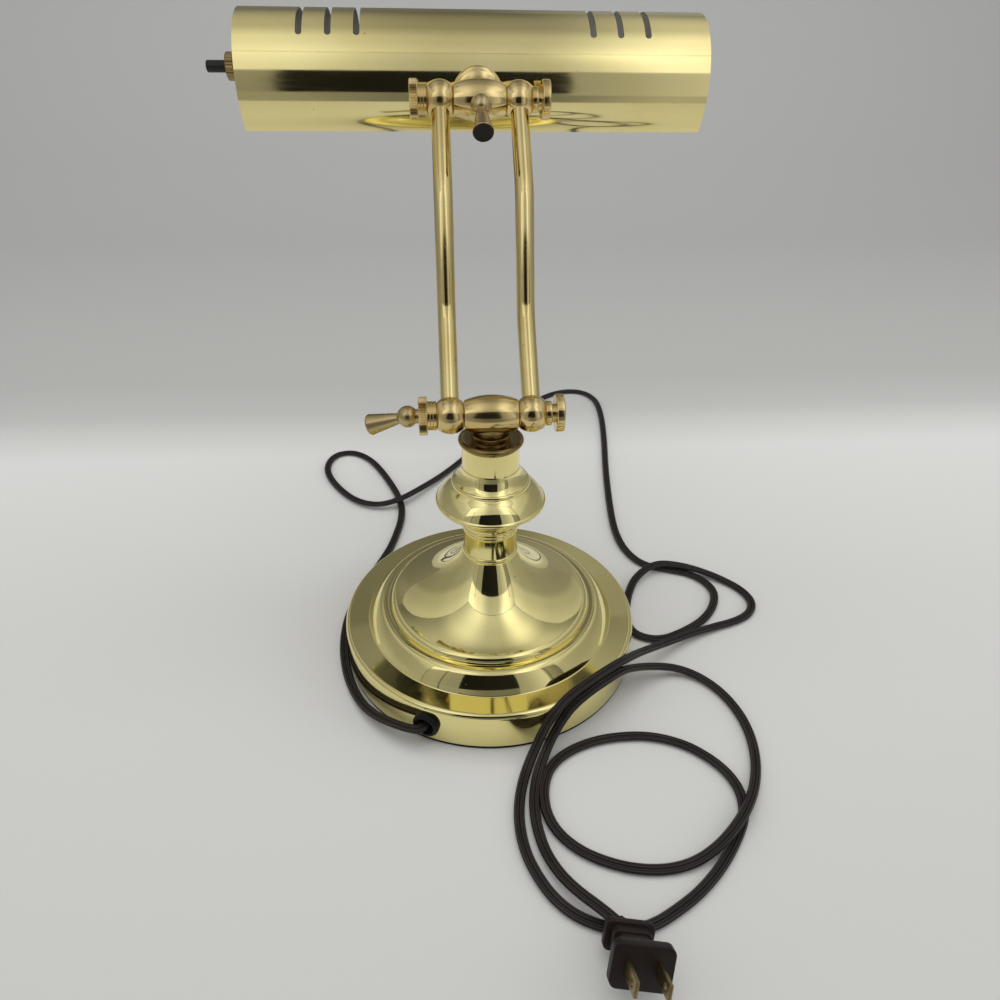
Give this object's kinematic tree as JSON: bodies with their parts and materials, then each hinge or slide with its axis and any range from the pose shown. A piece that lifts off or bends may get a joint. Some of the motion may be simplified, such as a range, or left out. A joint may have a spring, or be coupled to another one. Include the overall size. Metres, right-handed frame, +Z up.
{
  "type": "piano lamp",
  "caption": "Brass piano lamp: a weighted round base with a turned column, two bent arms tilting on a knuckle, and a long half-tube shade that tilts, swivels and locks.",
  "frame": {"origin": "centre of the underside of the base pad, on the table", "axes": "+Z up the column; the arms lean towards +Y; +X to the right along the shade, whose switch is at -X"},
  "size_m": [0.3213, 0.5606, 0.3205],
  "materials": {
    "polished_brass": "lacquered, polished",
    "satin_brass": "lacquered, satin",
    "dark_brass": "aged",
    "blade_brass": "dull",
    "steel": "zinc plated",
    "iron": "as cast",
    "felt": "pressed felt",
    "rubber": "moulded",
    "cord": "ribbed flat cord",
    "plug": "moulded",
    "wire": "insulation",
    "black_plastic": "moulded",
    "bulb_metal": "screw cap",
    "bulb_glass": "frosted",
    "switch_metal": "aged"
  },
  "bodies": {
    "base": {"base_pad": "felt", "base_shell": "polished_brass", "cord_grommet": "rubber", "base_weight": "iron", "column_band": "polished_brass", "column_vase": "polished_brass", "column_cap": "dark_brass", "check_ring": "dark_brass", "inner_cord": "cord", "power_cord": "cord", "plug_body": "plug", "plug_blades": "blade_brass", "pipe_washer": "steel", "pipe_nut": "steel", "threaded_pipe": "steel"},
    "lower_hub": {"lower_hub": "satin_brass"},
    "arms": {"ball_lower_left": "satin_brass", "ball_lower_right": "satin_brass", "ball_upper_left": "satin_brass", "ball_upper_right": "satin_brass", "arm_tube_left": "satin_brass", "arm_tube_right": "satin_brass", "arm_lead": "wire", "lower_axle": "satin_brass", "lower_collar": "satin_brass", "lower_ring": "satin_brass", "lower_nut": "satin_brass", "upper_axle": "satin_brass", "upper_collar": "satin_brass", "upper_ring": "satin_brass", "upper_nut": "satin_brass"},
    "lower_lever": {"lower_lever": "satin_brass"},
    "upper_hub": {"upper_hub": "satin_brass"},
    "upper_lever": {"upper_lever": "satin_brass"},
    "shade": {"shade_stem": "satin_brass", "outer_saddle": "satin_brass", "inner_saddle": "steel", "stem_nut": "steel", "shade_shell": "polished_brass", "end_cap_left": "polished_brass", "end_cap_right": "polished_brass", "lampholder": "black_plastic", "bulb_cap": "bulb_metal", "bulb_glass": "bulb_glass", "holder_strip": "steel", "switch_body": "switch_metal", "switch_nut": "dark_brass", "switch_washer": "dark_brass", "shade_lead": "wire", "switch_lead": "wire"},
    "switch_plunger": {"switch_plunger": "black_plastic"}
  },
  "joints": [
    {"name": "arm_swivel", "type": "hinge", "parent": "base", "child": "lower_hub", "pos_m": [0, 0, 0.1506], "axis": [0, 0, 1], "range_deg": [-60, 60]},
    {"name": "arm_tilt", "type": "hinge", "parent": "lower_hub", "child": "arms", "pos_m": [0, 0, 0.1506], "axis": [1, 0, 0], "range_deg": [-30, 60]},
    {"name": "lower_lever_turn", "type": "hinge", "parent": "arms", "child": "lower_lever", "pos_m": [-0.03615, 0, 0.1506], "axis": [1, 0, 0], "range_deg": [-180, 180]},
    {"name": "shade_tilt", "type": "hinge", "parent": "arms", "child": "upper_hub", "pos_m": [0, 0.10119, 0.2815], "axis": [1, 0, 0], "range_deg": [-45, 60]},
    {"name": "upper_lever_turn", "type": "hinge", "parent": "upper_hub", "child": "upper_lever", "pos_m": [0, 0.08553, 0.28035], "axis": [0, 0.9973, 0.0732], "range_deg": [-180, 180]},
    {"name": "shade_swivel", "type": "hinge", "parent": "upper_hub", "child": "shade", "pos_m": [0, 0.10119, 0.2815], "axis": [0, 0.9973, 0.0732], "range_deg": [-45, 45]},
    {"name": "switch_push", "type": "slide", "parent": "shade", "child": "switch_plunger", "axis": [1, 0, 0], "range_m": [0, 0.0025], "stiffness_N_per_m": 400, "springref_m": -0.003}
  ]
}
